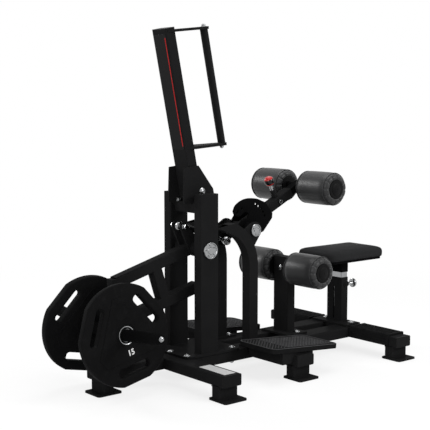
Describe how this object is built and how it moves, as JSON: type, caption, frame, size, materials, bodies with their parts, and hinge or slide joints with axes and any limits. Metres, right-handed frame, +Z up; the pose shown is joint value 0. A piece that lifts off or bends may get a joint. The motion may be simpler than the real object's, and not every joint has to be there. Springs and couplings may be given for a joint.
{
  "type": "standing hip thrust machine",
  "caption": "Free-standing gym machine: a plate loaded lever and link raise a padded roller arm, with a leaning handle tower, foot steps and a height adjustable seat.",
  "frame": {"origin": "centre of the machine's footprint box, on the floor", "axes": "+X along the machine from the weight discs towards the seat, +Y to the left of someone facing +X, +Z up"},
  "size_m": [1.8328, 0.942, 1.5521],
  "materials": {
    "frame_paint": "satin charcoal powder coat",
    "black_paint": "satin black powder coat",
    "chrome": "bright chrome plate",
    "cap_plastic": "moulded black end caps",
    "grip_rubber": "smooth dark grip sleeve",
    "disc_rubber": "matte black moulded rubber",
    "tread_rubber": "moulded tread",
    "padding": "black grained upholstery over foam",
    "knob_plastic": "glossy red and black moulding"
  },
  "bodies": {
    "base": {"rear_beam": "frame_paint", "front_beam": "frame_paint", "rear_spine": "frame_paint", "foot_rear_middle": "frame_paint", "post_plate": "frame_paint", "tower": "frame_paint", "tower_cap": "cap_plastic", "tower_bridge": "frame_paint", "handle_plate_low": "frame_paint", "handle_plate_high": "frame_paint", "handle_bar": "grip_rubber", "lower_post": "frame_paint", "seat_post": "frame_paint", "lever_shaft": "chrome", "swing_shaft": "chrome", "rail_right": "frame_paint", "rail_left": "frame_paint", "foot_rear_right": "frame_paint", "foot_rear_left": "frame_paint", "foot_middle_right": "frame_paint", "foot_middle_left": "frame_paint", "foot_front_right": "frame_paint", "foot_front_left": "frame_paint", "outrigger_right": "frame_paint", "outrigger_left": "frame_paint", "step_right": "tread_rubber", "step_left": "tread_rubber", "beam_cover_right": "tread_rubber", "beam_cover_left": "tread_rubber", "post_right": "frame_paint", "post_left": "frame_paint", "arch_right": "frame_paint", "arch_left": "frame_paint", "rear_beam_cap_right": "cap_plastic", "rear_beam_cap_left": "cap_plastic", "front_beam_cap_right": "cap_plastic", "front_beam_cap_left": "cap_plastic", "lever_cap_right": "chrome", "lever_cap_left": "chrome"},
    "lever": {"lever_frame": "frame_paint", "lever_pin": "chrome", "weight_horns": "black_paint"},
    "disc_right": {"weight_disc_right": "disc_rubber"},
    "disc_left": {"weight_disc_left": "disc_rubber"},
    "link": {"link_rod": "chrome"},
    "cams": {"cam_plates": "black_paint", "crank_pin": "chrome"},
    "selector": {"selector_pin": "knob_plastic"},
    "arm": {"arm_tube": "frame_paint"},
    "arm_pin": {"pop_pin": "knob_plastic"},
    "arm_end": {"arm_slider": "chrome"},
    "upper_roller_right": {"roller_upper_right": "padding"},
    "upper_roller_left": {"roller_upper_left": "padding"},
    "lower_roller_right": {"roller_lower_right": "padding"},
    "lower_roller_left": {"roller_lower_left": "padding"},
    "seat": {"seat_stem": "chrome", "seat_board": "black_paint", "seat_pad": "padding"},
    "seat_lock": {"seat_pin": "chrome"}
  },
  "joints": [
    {"name": "arm_swing", "type": "hinge", "parent": "base", "child": "cams", "pos_m": [0.0454, 0, 0.641], "axis": [0, -1, 0], "range_deg": [0, 30]},
    {"name": "lever_turn", "type": "hinge", "parent": "base", "child": "lever", "pos_m": [-0.2436, 0, 0.577], "axis": [0, -1, 0], "range_deg": [-30.8, 0]},
    {"name": "link_turn", "type": "hinge", "parent": "lever", "child": "link", "pos_m": [-0.3066, 0, 0.678], "axis": [0, -1, 0], "range_deg": [0, 18.6]},
    {"name": "disc_slide_right", "type": "slide", "parent": "lever", "child": "disc_right", "axis": [0, -0.9942, 0.108], "range_m": [0, 0.23]},
    {"name": "disc_slide_left", "type": "slide", "parent": "lever", "child": "disc_left", "axis": [0, 0.9942, 0.108], "range_m": [0, 0.23]},
    {"name": "arm_angle", "type": "hinge", "parent": "cams", "child": "arm", "pos_m": [0.0454, 0, 0.641], "axis": [0, -1, 0], "range_deg": [0, 36.8]},
    {"name": "selector_pull", "type": "slide", "parent": "cams", "child": "selector", "axis": [0, 1, 0], "range_m": [0, 0.012], "stiffness_N_per_m": 600},
    {"name": "arm_extend", "type": "slide", "parent": "arm", "child": "arm_end", "axis": [0.8988, 0, 0.4384], "range_m": [-0.04, 0.06]},
    {"name": "arm_pin_pull", "type": "slide", "parent": "arm", "child": "arm_pin", "axis": [-0.4384, 0, 0.8988], "range_m": [0, 0.012], "stiffness_N_per_m": 600},
    {"name": "upper_roller_right_spin", "type": "hinge", "parent": "arm_end", "child": "upper_roller_right", "pos_m": [0.40761, 0, 0.81766], "axis": [0, 1, 0], "continuous": true},
    {"name": "upper_roller_left_spin", "type": "hinge", "parent": "arm_end", "child": "upper_roller_left", "pos_m": [0.40761, 0, 0.81766], "axis": [0, 1, 0], "continuous": true},
    {"name": "lower_roller_right_spin", "type": "hinge", "parent": "base", "child": "lower_roller_right", "pos_m": [0.3284, 0, 0.432], "axis": [0, 1, 0], "continuous": true},
    {"name": "lower_roller_left_spin", "type": "hinge", "parent": "base", "child": "lower_roller_left", "pos_m": [0.3284, 0, 0.432], "axis": [0, 1, 0], "continuous": true},
    {"name": "seat_height", "type": "slide", "parent": "base", "child": "seat", "axis": [0, 0, 1], "range_m": [-0.02, 0.09]},
    {"name": "seat_pin_pull", "type": "slide", "parent": "base", "child": "seat_lock", "axis": [1, 0, 0], "range_m": [0, 0.012], "stiffness_N_per_m": 600}
  ],
  "couplings": [
    {"joint": "lever_turn", "follows": "arm_swing", "ratio": -1.02},
    {"joint": "link_turn", "follows": "arm_swing", "ratio": 0.615}
  ]
}
